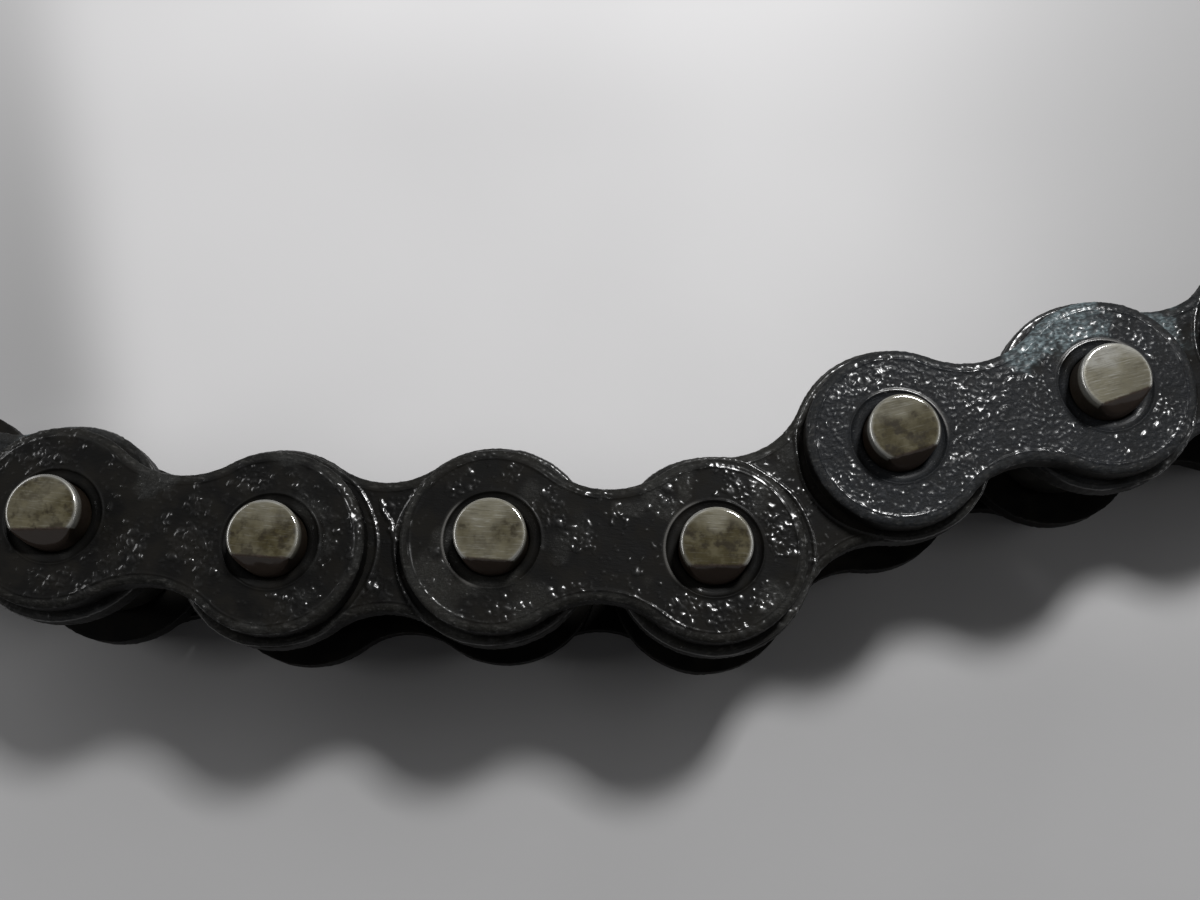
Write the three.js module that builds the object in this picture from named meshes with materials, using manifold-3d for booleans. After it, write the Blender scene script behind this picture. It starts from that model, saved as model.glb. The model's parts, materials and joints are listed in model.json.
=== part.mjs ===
// Roller chain, half-inch pitch: a nine-link strand with an inner link at each end.
//
// The chain lies on its side: every pin stands along +Z and the strand runs along +X in a gentle
// curve. The lower pin ends stand on z = 0, and the origin is under the middle of the strand.
// Joint 0 is the free left end and joint 9 the free right end. An inner link joins joints 0-1,
// 2-3, 4-5, 6-7 and 8-9, and an outer link joins joints 1-2, 3-4, 5-6 and 7-8.
//
// Lengths are in millimetres and angles in degrees.

import * as THREE from 'three';
import { mergeVertices } from 'three/addons/utils/BufferGeometryUtils.js';
import Module from 'manifold-3d';

// ---------- driving dimensions ----------

const PITCH = 12.7;
const INNER_WIDTH = 7.85;          // between the two inner plates
const PLATE_THICKNESS = 1.5;
const SIDE_PLAY = 0.12;            // between an inner plate and the outer plate beside it

const OUTER_EYE_RADIUS = 5.35;
const OUTER_WAIST = 3.25;          // half of the plate's height at its waist
const INNER_EYE_RADIUS = 5.9;
const INNER_WAIST = 3.85;

const PIN_RADIUS = 2.06;
const PIN_EDGE = 0.2;              // edge break on the upper end
const PIN_FOOT_EDGE = 0.3;         // edge break on the lower end
const PIN_STANDS_PROUD = 1.75;     // above the upper outer plate
const PIN_FOOT = 1.2;              // below the lower outer plate
const FLAT_DROP = 1.45;            // how far down the pin its slanted flat runs out

const BUSHING_RADIUS = 2.9;
const BUSHING_BORE = 2.135;
const ROLLER_RADIUS = 3.96;
const ROLLER_BORE = 3;
const ROLLER_EDGE = 0.3;
const ROLLER_PLAY = 0.15;          // between a roller's end and the inner plate beside it

const PRESS_GAP = 0.035;           // keeps press-fitted pieces from sharing a surface
const COUNTERSINK_RADIUS = 2.8;    // coined ring round each pin in an outer plate
const COUNTERSINK_DEPTH = 0.35;

const ROUND_SIDES = 20;
const EYE_STEPS = 17;
const WAIST_STEPS = 6;

// The direction of each link, from joint 0 to joint 9.
const LINK_HEADINGS = [-18, -6.7, 0.5, -2.4, 31.5, 14.1, 17, 8, -6];

// The flat on each pin's upper end, from joint 1 to joint 8: its depth as a share of the pin's
// diameter, and its turn from parallel to the outer link.
const PIN_FLATS = [
  { depth: 0.23, turn: 8 },
  { depth: 0.21, turn: 3 },
  { depth: 0.14, turn: -1 },
  { depth: 0.19, turn: 3 },
  { depth: 0.15, turn: 3 },
  { depth: 0.2, turn: 6 },
  { depth: 0.17, turn: -2 },
  { depth: 0.22, turn: 4 },
];

// ---------- levels along the pins ----------

const LOWER_OUTER_PLATE = PIN_FOOT;
const LOWER_INNER_PLATE = LOWER_OUTER_PLATE + PLATE_THICKNESS + SIDE_PLAY;
const INNER_SPACE = LOWER_INNER_PLATE + PLATE_THICKNESS;
const UPPER_INNER_PLATE = INNER_SPACE + INNER_WIDTH;
const UPPER_OUTER_PLATE = UPPER_INNER_PLATE + PLATE_THICKNESS + SIDE_PLAY;
const PIN_LENGTH = UPPER_OUTER_PLATE + PLATE_THICKNESS + PIN_STANDS_PROUD;
const BUSHING_LENGTH = INNER_WIDTH + 2 * PLATE_THICKNESS;

// ---------- materials ----------

const steel = (color, roughness) =>
  new THREE.MeshStandardMaterial({ color, roughness, metalness: 0.9 });

const plateSteel = steel(0x2e2d2b, 0.45);
const pinSteel = steel(0xb8b1a2, 0.3);
const bushingSteel = steel(0x6d6963, 0.4);
const rollerSteel = steel(0x46443f, 0.4);

// ---------- joining and cutting ----------

const manifold = await Module();
manifold.setup();

function toSolid(geometry) {
  const bare = geometry.index ? geometry.toNonIndexed() : geometry.clone();
  bare.deleteAttribute('normal');
  bare.deleteAttribute('uv');
  const merged = mergeVertices(bare, 1e-4);
  return new manifold.Manifold(new manifold.Mesh({
    numProp: 3,
    vertProperties: new Float32Array(merged.attributes.position.array),
    triVerts: new Uint32Array(merged.index.array),
  }));
}

function toGeometry(solid) {
  const mesh = solid.getMesh();
  const geometry = new THREE.BufferGeometry();
  geometry.setAttribute('position', new THREE.BufferAttribute(mesh.vertProperties, 3));
  geometry.setIndex(new THREE.BufferAttribute(mesh.triVerts, 1));
  geometry.computeVertexNormals();
  return geometry;
}

// ---------- shapes ----------

const { degToRad } = THREE.MathUtils;

// Points along an arc, from one angle to another in radians.
function arc(x, y, radius, from, to, steps) {
  const points = [];
  for (let i = 0; i <= steps; i += 1) {
    const angle = from + ((to - from) * i) / steps;
    points.push(new THREE.Vector2(x + radius * Math.cos(angle), y + radius * Math.sin(angle)));
  }
  return points;
}

// The figure-eight outline of a link plate, with its left eye at the origin and its right eye one
// pitch along X. The two hollow waist arcs run smoothly into the eyes.
function plateOutline(eyeRadius, waist) {
  const half = PITCH / 2;
  const hollowRadius = (half ** 2 + waist ** 2 - eyeRadius ** 2) / (2 * (eyeRadius - waist));
  const hollowCentre = waist + hollowRadius;
  const meet = Math.atan2(hollowCentre, half);
  const outline = [
    ...arc(0, 0, eyeRadius, meet, 2 * Math.PI - meet, EYE_STEPS),
    ...arc(half, -hollowCentre, hollowRadius, Math.PI - meet, meet, WAIST_STEPS).slice(1),
    ...arc(PITCH, 0, eyeRadius, meet - Math.PI, Math.PI - meet, EYE_STEPS).slice(1),
    ...arc(half, hollowCentre, hollowRadius, -meet, meet - Math.PI, WAIST_STEPS).slice(1, -1),
  ];
  return outline;
}

function circle(x, radius) {
  return arc(x, 0, radius, 0, 2 * Math.PI, ROUND_SIDES).slice(0, -1);
}

// A plate with one round hole in each eye, lying between z = 0 and its thickness.
function plate(eyeRadius, waist, holeRadius) {
  const shape = new THREE.Shape(plateOutline(eyeRadius, waist));
  shape.holes = [0, PITCH].map((x) => new THREE.Path(circle(x, holeRadius)));
  return new THREE.ExtrudeGeometry(shape, { depth: PLATE_THICKNESS, bevelEnabled: false });
}

// A solid of revolution about Z from [radius, z] pairs, given from the lowest point upwards.
function turned(profile) {
  const points = profile.map(([radius, z]) => new THREE.Vector2(radius, z));
  const geometry = new THREE.LatheGeometry(points, ROUND_SIDES);
  geometry.rotateX(Math.PI / 2);
  return geometry;
}

function innerPlate() {
  return plate(INNER_EYE_RADIUS, INNER_WAIST, BUSHING_RADIUS + PRESS_GAP);
}

// An outer plate has a countersunk ring round each pin, on its upper face.
function outerPlate() {
  const holeRadius = PIN_RADIUS + PRESS_GAP;
  const clear = 0.5;
  const lift = (clear / COUNTERSINK_DEPTH) * (COUNTERSINK_RADIUS - holeRadius);
  const countersink = turned([
    [0, PLATE_THICKNESS - COUNTERSINK_DEPTH],
    [holeRadius, PLATE_THICKNESS - COUNTERSINK_DEPTH],
    [COUNTERSINK_RADIUS + lift, PLATE_THICKNESS + clear],
    [0, PLATE_THICKNESS + clear],
  ]);
  let solid = toSolid(plate(OUTER_EYE_RADIUS, OUTER_WAIST, holeRadius));
  for (const x of [0, PITCH]) {
    solid = solid.subtract(toSolid(countersink.clone().translate(x, 0, 0)));
  }
  return toGeometry(solid);
}

// A pin stands on z = 0. The slanted flat leaves the upper end on its -Y side.
function pin({ depth, turn }) {
  const body = turned([
    [0, 0],
    [PIN_RADIUS - PIN_FOOT_EDGE, 0],
    [PIN_RADIUS, PIN_FOOT_EDGE],
    [PIN_RADIUS, PIN_LENGTH - PIN_EDGE],
    [PIN_RADIUS - PIN_EDGE, PIN_LENGTH],
    [0, PIN_LENGTH],
  ]);
  const cutDepth = depth * 2 * PIN_RADIUS;
  const slant = Math.atan2(FLAT_DROP, cutDepth);
  const size = 6 * PIN_RADIUS;
  const cutter = new THREE.BoxGeometry(size, size, size);
  cutter.translate(0, 0, size / 2);
  cutter.rotateX(slant);
  cutter.translate(0, cutDepth - PIN_RADIUS, PIN_LENGTH);
  cutter.rotateZ(degToRad(turn));
  return toGeometry(toSolid(body).subtract(toSolid(cutter)));
}

function bushing() {
  return turned([
    [BUSHING_BORE, 0],
    [BUSHING_RADIUS, 0],
    [BUSHING_RADIUS, BUSHING_LENGTH],
    [BUSHING_BORE, BUSHING_LENGTH],
    [BUSHING_BORE, 0],
  ]);
}

function roller() {
  const length = INNER_WIDTH - 2 * ROLLER_PLAY;
  return turned([
    [ROLLER_BORE, 0],
    [ROLLER_RADIUS - ROLLER_EDGE, 0],
    [ROLLER_RADIUS, ROLLER_EDGE],
    [ROLLER_RADIUS, length - ROLLER_EDGE],
    [ROLLER_RADIUS - ROLLER_EDGE, length],
    [ROLLER_BORE, length],
    [ROLLER_BORE, 0],
  ]);
}

// ---------- assembly ----------

function place(link, name, geometry, material, x, z) {
  const mesh = new THREE.Mesh(geometry, material);
  mesh.name = name;
  mesh.position.set(x, 0, z);
  link.add(mesh);
}

function innerLink(number) {
  const link = new THREE.Group();
  place(link, `inner_plate_bottom_${number}`, innerPlate(), plateSteel, 0, LOWER_INNER_PLATE);
  place(link, `inner_plate_top_${number}`, innerPlate(), plateSteel, 0, UPPER_INNER_PLATE);
  for (const [side, x] of [['left', 0], ['right', PITCH]]) {
    place(link, `bushing_${side}_${number}`, bushing(), bushingSteel, x, LOWER_INNER_PLATE);
    place(link, `roller_${side}_${number}`, roller(), rollerSteel, x, INNER_SPACE + ROLLER_PLAY);
  }
  return link;
}

function outerLink(number) {
  const link = new THREE.Group();
  const lower = outerPlate().rotateX(Math.PI).rotateZ(Math.PI);
  lower.translate(PITCH, 0, PLATE_THICKNESS);
  place(link, `outer_plate_bottom_${number}`, lower, plateSteel, 0, LOWER_OUTER_PLATE);
  place(link, `outer_plate_top_${number}`, outerPlate(), plateSteel, 0, UPPER_OUTER_PLATE);
  const [leftFlat, rightFlat] = PIN_FLATS.slice(2 * number - 2, 2 * number);
  place(link, `pin_left_${number}`, pin(leftFlat), pinSteel, 0, 0);
  place(link, `pin_right_${number}`, pin(rightFlat), pinSteel, PITCH, 0);
  return link;
}

// Lays the links end to end, each turned to its own heading, inner and outer by turns.
function strand() {
  const chain = new THREE.Group();
  const joint = new THREE.Vector2(0, 0);
  LINK_HEADINGS.forEach((heading, index) => {
    const number = Math.floor(index / 2) + 1;
    const link = index % 2 === 0 ? innerLink(number) : outerLink(number);
    const angle = degToRad(heading);
    link.position.set(joint.x, joint.y, 0);
    link.rotation.z = angle;
    chain.add(link);
    joint.x += PITCH * Math.cos(angle);
    joint.y += PITCH * Math.sin(angle);
  });
  return chain;
}

const chain = strand();
const middle = new THREE.Box3().setFromObject(chain, true).getCenter(new THREE.Vector3());
chain.position.set(-middle.x, -middle.y, 0);

export default chain;
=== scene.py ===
"""The looks of a greasy half-inch roller chain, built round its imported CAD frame.

The chain lies on its side on a pale floor, with its pins upright. Every plate, pin, bushing and
roller is a fine mesh that stands for one CAD node. A mesh is made in its link's own frame, with
the left eye at the origin and X along the link, and its object's transform lays it in place.
Sizes come from the CAD nodes. Lengths are in metres unless a name says otherwise.
"""

import json
import math

import bpy
import numpy as np
from mathutils import Matrix, Vector
from mathutils.geometry import delaunay_2d_cdt

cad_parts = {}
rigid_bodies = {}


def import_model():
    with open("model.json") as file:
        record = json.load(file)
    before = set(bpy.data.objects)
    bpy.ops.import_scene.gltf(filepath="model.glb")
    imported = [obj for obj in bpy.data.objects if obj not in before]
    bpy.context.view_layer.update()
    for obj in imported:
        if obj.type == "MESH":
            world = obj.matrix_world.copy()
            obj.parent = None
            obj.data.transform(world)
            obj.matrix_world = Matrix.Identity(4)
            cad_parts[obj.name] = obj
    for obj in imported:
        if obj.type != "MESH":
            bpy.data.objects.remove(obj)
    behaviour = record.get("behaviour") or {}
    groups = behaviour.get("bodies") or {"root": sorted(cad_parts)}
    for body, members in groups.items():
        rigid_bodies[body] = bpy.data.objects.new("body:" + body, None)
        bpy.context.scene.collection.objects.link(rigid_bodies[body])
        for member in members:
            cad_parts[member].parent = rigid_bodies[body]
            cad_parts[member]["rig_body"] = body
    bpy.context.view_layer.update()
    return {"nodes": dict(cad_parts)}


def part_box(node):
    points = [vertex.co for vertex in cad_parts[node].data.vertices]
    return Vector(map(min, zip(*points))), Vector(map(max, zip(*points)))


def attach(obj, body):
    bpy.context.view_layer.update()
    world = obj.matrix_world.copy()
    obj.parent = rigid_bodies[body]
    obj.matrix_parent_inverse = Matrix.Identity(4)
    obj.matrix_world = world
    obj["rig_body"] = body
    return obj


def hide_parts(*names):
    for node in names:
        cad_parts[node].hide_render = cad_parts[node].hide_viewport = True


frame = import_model()

MM = 0.001
INNER_LINKS = 5

# ---------- how fine the meshes are ----------

FINE_SPACING = 0.085 * MM       # between points on an upper plate's outward face
COARSE_SPACING = 0.19 * MM      # between points on every other plate face
LEAST_RIM_SPACING = 0.1 * MM    # between points round a plate's edge
HOLE_SIDES = 96
PIN_SIDES = 128                 # of bushings and rollers too
PIN_END_SPACING = 0.1 * MM
PLATE_SHAKE = 11                # seeds of the uneven rows of points on plates and pin ends
PIN_SHAKE = 5

# ---------- small shapes that the CAD model leaves out ----------

ROLL_WIDTH = 0.46 * MM          # a stamped plate's outward edge rolls over this far in
ROLL_DROP = 0.30 * MM
BEAD_INSET = 0.70 * MM          # grime heaps in a low bead just inside the roll
BEAD_HEIGHT = 0.03 * MM
ARRIS = 0.07 * MM               # a stamped plate's inward edge is nearly sharp
RING_LIP = 0.04 * MM            # metal pushed up round the coined ring
LIP_OUT = 0.06 * MM             # from the countersink's edge to the crest of that lip
PIN_ROUND = 0.2 * MM            # edge break of a pin's two ends
PIN_DENTS = 0.010 * MM

# The rounding of a tube's edges, the steps along its wall, and the depth of its dents.
TUBES = {
    "bushing": (0.08 * MM, 5, 0.004 * MM),
    "roller": (0.3 * MM, 40, 0.012 * MM),
}

# ---------- grime ----------

SAND_SIZE = 0.26 * MM           # the grains of sand
SAND_HEIGHT = 0.035 * MM
CRUMB_SIZE = 0.2 * MM           # the crumbs on a rolled edge
CRUMB_HEIGHT = 0.02 * MM
DROP_SIZE = 0.42 * MM           # the drops in a cluster, the fine drops and the lone drops
FINE_DROP_SIZE = 0.19 * MM
LONE_DROP_SIZE = 0.40 * MM
DROP_HEIGHT = 0.06 * MM
GREASE_WIDTH = 0.17 * MM        # the strings of grease
GREASE_HEIGHT = 0.06 * MM
RIPPLE_HEIGHT = 0.02 * MM       # the unevenness of the oil film

# Distances from an eye's centre: to the lip that is painted bright, partly as rubbed metal and partly as
# a painted highlight, and to where grime begins and is full.
LIP_WEAR_AND_HIGHLIGHT = 2.88 * MM
RING_CLEARANCE = (2.95 * MM, 3.2 * MM)

# Each link's grime, with lengths in millimetres in the link's own frame:
#   grit     the share of the plates under dry grit
#   wet      how much oil there is
#   blue     how blue-grey the grit is
#   residue  the x, y and radius of pale teal patches
#   drops    the x, y and radius of clusters of oil drops
#   grease   the paths of raised strings of grease
#   lips     directions, in degrees, in which the lips of the left and right ring are painted bright: partly rubbed metal, partly a painted highlight towards the lamps
#   beads    directions in which the bead of grime is wet, round the left and right eye

LINK_GRIME = {
    "inner_link_1": dict(grit=0.4, wet=0.8, blue=0.4, residue=[(9.8, 3.0, 2.4)]),
    "outer_link_1": dict(
        grit=0.2, wet=1.3, blue=0.1, beads=(110, 5),
        drops=[
            (-1.2, 3.1, 1.6), (4.1, -1.5, 1.7), (8.0, -0.8, 1.4), (6.0, 2.4, 1.0),
            (11.2, 3.1, 1.3), (15.0, 1.7, 1.2), (14.5, -3.4, 1.6),
        ],
    ),
    "inner_link_2": dict(
        grit=0.20, wet=0.9, blue=0.0,
        drops=[(6.2, -2.7, 1.0), (5.2, 0.3, 0.5)],
        grease=[
            ((6.0, 2.7), (6.15, 2.0), (6.5, 1.6), (6.6, 0.9), (6.9, 0.2)),
            ((5.1, -2.9), (5.6, -2.4), (5.8, -2.6)),
        ],
    ),
    "outer_link_2": dict(
        grit=0.35, wet=1.0, blue=0.0, lips=(195, 172), beads=(205, 42),
        drops=[
            (3.2, 1.9, 1.3), (5.1, 0.2, 1.1), (0.9, 4.0, 0.8), (-1.6, 2.6, 0.8), (1.0, -4.2, 1.2),
            (5.4, -2.9, 0.8), (14.0, 2.9, 1.5), (16.0, 1.2, 1.3), (11.0, -3.9, 1.4), (15.4, -2.8, 0.9),
        ],
    ),
    "inner_link_3": dict(grit=0.30, wet=0.7, blue=0.0, drops=[(5.0, 2.0, 0.9)]),
    "outer_link_3": dict(
        grit=1.0, wet=0.8, blue=0.7, lips=(46, 72), beads=(215, 60),
        residue=[(12.0, 4.2, 2.8), (9.0, 3.4, 1.6)],
    ),
    "inner_link_4": dict(grit=0.6, wet=0.6, blue=0.6, residue=[(4.8, 2.2, 2.6)]),
    "outer_link_4": dict(
        grit=0.9, wet=0.7, blue=0.5, lips=(60, 110), residue=[(1.0, 4.0, 2.0)],
    ),
    "inner_link_5": dict(grit=0.5, wet=0.8, blue=0.2, drops=[(4.0, 2.0, 1.5)]),
}

# How brown each pin's end is in its middle and towards +Y, for the left and right pin of each outer
# link. Below 0 it is paler than plain steel. Most ends turn paler towards +Y, the key lamp's side:
# partly real stains, partly a painted sheen.
PIN_STAINS_AND_SHEEN = {
    1: ((0.78, 0.80), (0.85, 0.42)),
    2: ((0.64, 0.20), (1.15, 0.28)),
    3: ((1.15, 0.20), (0.22, -0.35)),
    4: ((0.60, 0.40), (0.70, 0.30)),
}


# ---------- noise ----------

HASH_FACTORS = (0x9E3779B97F4A7C15, 0xC2B2AE3D27D4EB4F, 0x165667B19E3779F9)
HASH_MIX = np.uint64(0xD6E8FEB86659FD93)
SEED_FACTOR = 7919


def cell_values(cells, seed):
    """A settled random number from 0 to 1 for each whole-number cell."""
    mixed = np.full(cells.shape[:-1], SEED_FACTOR * seed + 1, np.uint64)
    for axis, factor in enumerate(HASH_FACTORS):
        mixed ^= cells[..., axis].astype(np.int64).astype(np.uint64) * np.uint64(factor)
        mixed ^= mixed >> np.uint64(31)
        mixed *= HASH_MIX
    mixed ^= mixed >> np.uint64(32)
    return (mixed >> np.uint64(11)).astype(float) / 2**53


def noise(points, size, seed):
    """Smooth noise from 0 to 1 with bumps about size across, which is one length or three."""
    scaled = points / np.asarray(size)
    cell = np.floor(scaled).astype(np.int64)
    share = scaled - cell
    share = share * share * (3 - 2 * share)
    total = np.zeros(len(points))
    for corner in np.ndindex(2, 2, 2):
        weight = np.prod(np.where(corner, share, 1 - share), axis=1)
        total += weight * cell_values(cell + np.array(corner), seed)
    return total


def step(low, high, value):
    """0 below low, 1 above high, and smooth between."""
    share = np.clip((value - low) / (high - low), 0, 1)
    return share * share * (3 - 2 * share)


def grains(points, size, chance, seed):
    """Heights from 0 to 1 of round grains about size apart. chance is how likely each one is."""
    cell = np.floor(points[:, :2] / size).astype(np.int64)
    height = np.zeros(len(points))
    for right, up in np.ndindex(3, 3):
        there = np.column_stack([cell + (right - 1, up - 1), np.zeros(len(points), int)])
        values = [cell_values(there, seed + k) for k in range(5)]
        centre = (there[:, :2] + np.column_stack(values[:2])) * size
        radius = size * (0.3 + 0.35 * values[2])
        dome = 1 - ((points[:, :2] - centre) ** 2).sum(1) / radius**2
        grain = np.clip(dome, 0, 1) * (0.35 + 0.65 * values[3])
        height = np.maximum(height, np.where(values[4] < chance, grain, 0))
    return height


# ---------- mesh building ----------


def ring(count, radius, x=0.0):
    """Points round a circle about (x, 0)."""
    angle = np.arange(count) * 2 * math.pi / count
    return np.column_stack([x + radius * np.cos(angle), radius * np.sin(angle)])


def fill(loops, points):
    """Triangles, anticlockwise, over the area that the first loop holds and the others don't.
    The triangles' numbers count through the loops and then the points."""
    coords = np.vstack([*loops, points])
    edges = []
    start = 0
    owner = np.full(len(coords), -1)
    for number, loop in enumerate(loops):
        count = len(loop)
        edges += [(start + i, start + (i + 1) % count) for i in range(count)]
        owner[start:start + count] = number
        start += count
    flat = [Vector(p) for p in (coords / MM).tolist()]
    found, _, faces, *_ = delaunay_2d_cdt(flat, edges, [], 1, 1e-7, False)
    if len(found) != len(coords):
        raise ValueError("two points of a filled area coincide")
    triangles = np.sort(np.array(faces), axis=1)
    a, b, c = (coords[triangles[:, i]] for i in range(3))
    turn = (b[:, 0] - a[:, 0]) * (c[:, 1] - a[:, 1]) - (b[:, 1] - a[:, 1]) * (c[:, 0] - a[:, 0])
    corners = owner[triangles]
    one_loop = (corners == corners[:, :1]).all(axis=1)
    hole = one_loop & (corners[:, 0] > 0)
    outside = one_loop & (corners[:, 0] == 0) & (turn < 0)
    triangles[turn < 0] = triangles[turn < 0][:, ::-1]
    return triangles[~(hole | outside)]


def hexagonal(low, high, spacing, seed):
    """Points in slightly uneven hexagonal rows over a rectangle."""
    rows = np.arange(low[1], high[1], spacing * math.sqrt(3) / 2)
    columns = np.arange(low[0], high[0], spacing)
    x, y = np.meshgrid(columns, rows)
    x = x + spacing / 2 * (np.arange(len(rows)) % 2)[:, None]
    points = np.column_stack([x.ravel(), y.ravel()])
    shake = np.random.default_rng(seed).uniform(-0.2, 0.2, points.shape)
    return points + shake * spacing


class Shell:
    """Vertices and faces of one closed mesh, added loop by loop."""

    def __init__(self):
        self.vertices = []
        self.faces = []
        self.count = 0

    def add(self, flat, height):
        """Adds points at a height, and returns their numbers."""
        points = np.column_stack([flat, np.broadcast_to(height, len(flat))])
        self.vertices.append(points)
        self.count += len(points)
        return np.arange(self.count - len(points), self.count)

    def band(self, upper, lower):
        """A band of quads from one closed loop to the next, facing out of an anticlockwise loop."""
        after = np.roll(np.arange(len(upper)), -1)
        self.faces.append(np.column_stack([upper, lower, lower[after], upper[after]]))

    def skin(self, loops):
        """Bands from each loop to the next."""
        for upper, lower in zip(loops, loops[1:]):
            self.band(upper, lower)

    def points(self):
        return np.vstack(self.vertices)


def face_normals(points, faces):
    """Each vertex's normal, weighted by the area of its faces."""
    normals = np.zeros_like(points)
    for group in faces:
        a, b, c = points[group[:, 0]], points[group[:, 1]], points[group[:, 2]]
        cross = np.cross(b - a, c - a)
        if group.shape[1] == 4:
            cross = cross + np.cross(c - a, points[group[:, 3]] - a)
        for corner in range(group.shape[1]):
            np.add.at(normals, group[:, corner], cross)
    length = np.linalg.norm(normals, axis=1, keepdims=True)
    return normals / np.maximum(length, 1e-20)


def make_piece(name, node, points, faces, layers, place, material):
    """A smooth-shaded mesh object that stands for a CAD node and rides on its body."""
    mesh = bpy.data.meshes.new(name)
    mesh.vertices.add(len(points))
    mesh.vertices.foreach_set("co", points.astype(np.float32).ravel())
    sizes = np.concatenate([np.full(len(group), group.shape[1]) for group in faces])
    corners = np.concatenate([group.ravel() for group in faces])
    mesh.loops.add(len(corners))
    mesh.loops.foreach_set("vertex_index", corners.astype(np.int32))
    mesh.polygons.add(len(sizes))
    starts = np.concatenate([[0], np.cumsum(sizes)[:-1]])
    mesh.polygons.foreach_set("loop_start", starts.astype(np.int32))
    mesh.polygons.foreach_set("use_smooth", np.ones(len(sizes), bool))
    mesh.update(calc_edges=True)
    for layer, values in layers.items():
        attribute = mesh.attributes.new(layer, "FLOAT", "POINT")
        attribute.data.foreach_set("value", values.astype(np.float32))
    mesh.materials.append(material)
    piece = bpy.data.objects.new(name, mesh)
    bpy.context.scene.collection.objects.link(piece)
    piece.matrix_world = place
    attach(piece, frame["nodes"][node]["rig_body"])
    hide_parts(node)


# ---------- reading the frame ----------


def node_centre(node):
    low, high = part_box(node)
    return (low + high) / 2


def link_frame(kind, number):
    """The matrix that lays a link's own frame in the row frame, and the link's pitch."""
    if kind == "inner":
        left, right = f"bushing_left_{number}", f"bushing_right_{number}"
    else:
        left, right = f"bushing_right_{number}", f"bushing_left_{number + 1}"
    start, end = node_centre(left).xy, node_centre(right).xy
    along = end - start
    heading = math.atan2(along.y, along.x)
    return Matrix.Translation((*start, 0)) @ Matrix.Rotation(heading, 4, "Z"), along.length


def cad_mesh(node, place):
    """A CAD node's vertices in its link's frame, and its triangles."""
    mesh = frame["nodes"][node].data
    mesh.calc_loop_triangles()
    points = np.array([v.co for v in mesh.vertices])
    back = np.array(place.inverted())
    triangles = np.array([t.vertices for t in mesh.loop_triangles])
    return points @ back[:3, :3].T + back[:3, 3], triangles


class PlateSizes:
    """A link plate's outline, read from a CAD plate: two round eyes joined by hollow waists."""

    def __init__(self, node, place, pitch):
        points, _ = cad_mesh(node, place)
        radius = np.hypot(points[:, 0], points[:, 1])
        end = points[:, 0] < 0
        self.pitch = pitch
        self.eye = radius[end].max()
        self.hole = radius[end].min()
        self.waist = np.abs(points[np.abs(points[:, 0] - pitch / 2).argmin(), 1])
        self.thickness = np.ptp(points[:, 2])
        half = pitch / 2
        self.hollow = (half**2 + self.waist**2 - self.eye**2) / (2 * (self.eye - self.waist))
        self.reach = self.waist + self.hollow
        self.meet = math.atan2(self.reach, half)

    def loop(self, inset, spacing):
        """The outline, anticlockwise, with its points moved inwards by inset."""
        eye, hollow, meet = self.eye - inset, self.hollow + inset, self.meet
        eye_steps = round((2 * math.pi - 2 * meet) * self.eye / spacing)
        waist_steps = round((math.pi - 2 * meet) * self.hollow / spacing)
        arcs = [
            (0, 0, eye, meet, 2 * math.pi - meet, eye_steps),
            (self.pitch / 2, -self.reach, hollow, math.pi - meet, meet, waist_steps),
            (self.pitch, 0, eye, meet - math.pi, math.pi - meet, eye_steps),
            (self.pitch / 2, self.reach, hollow, -meet, meet - math.pi, waist_steps),
        ]
        points = []
        for x, y, radius, start, end, steps in arcs:
            angle = start + (end - start) * np.arange(steps) / steps
            points.append(np.column_stack([x + radius * np.cos(angle), y + radius * np.sin(angle)]))
        return np.vstack(points)

    def depth(self, x, y):
        """How far inside the outline each point is."""
        near = np.where(x > self.pitch / 2, self.pitch - x, x)
        high = np.abs(y)
        to_hollow = np.hypot(self.pitch / 2 - near, self.reach - high) - self.hollow
        to_eye = self.eye - np.hypot(near, high)
        return np.where(np.arctan2(high, near) < self.meet, to_hollow, to_eye)

    def facing(self, x, y, directions):
        """1 at points that lie in a direction, in degrees, from the nearer eye's centre, and 0
        at points well off it. directions has one for the left eye and one for the right eye."""
        if not directions:
            return np.zeros(len(x))
        right = x > self.pitch / 2
        wanted = np.radians(np.where(right, directions[1], directions[0]))
        bearing = np.arctan2(y, np.where(right, x - self.pitch, x))
        return step(0.35, 0.75, np.cos(bearing - wanted))

    def from_eye(self, x, y):
        """Each point's distance from the nearer eye's centre."""
        near = np.where(x > self.pitch / 2, self.pitch - x, x)
        return np.hypot(near, y)


# ---------- plates ----------


def rim_profile(thickness):
    """(inset, height) pairs from the outward face, over the rolled edge, to the inward face."""
    profile = []
    for share in np.linspace(0, 1, 6)[:-1]:
        inset = BEAD_INSET + share * (ROLL_WIDTH - BEAD_INSET)
        profile.append((inset, thickness + BEAD_HEIGHT * math.sin(math.pi * share) ** 2))
    for angle in np.linspace(0, math.pi / 2, 9):
        inset = ROLL_WIDTH * (1 - math.sin(angle))
        profile.append((inset, thickness - ROLL_DROP * (1 - math.cos(angle))))
    wall_top, wall_foot = thickness - ROLL_DROP, ARRIS
    for height in np.linspace(wall_top, wall_foot, 9)[1:]:
        profile.append((0.0, height))
    profile.append((0.3 * ARRIS, 0.3 * ARRIS))
    profile.append((ARRIS, 0.0))
    return profile


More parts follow.
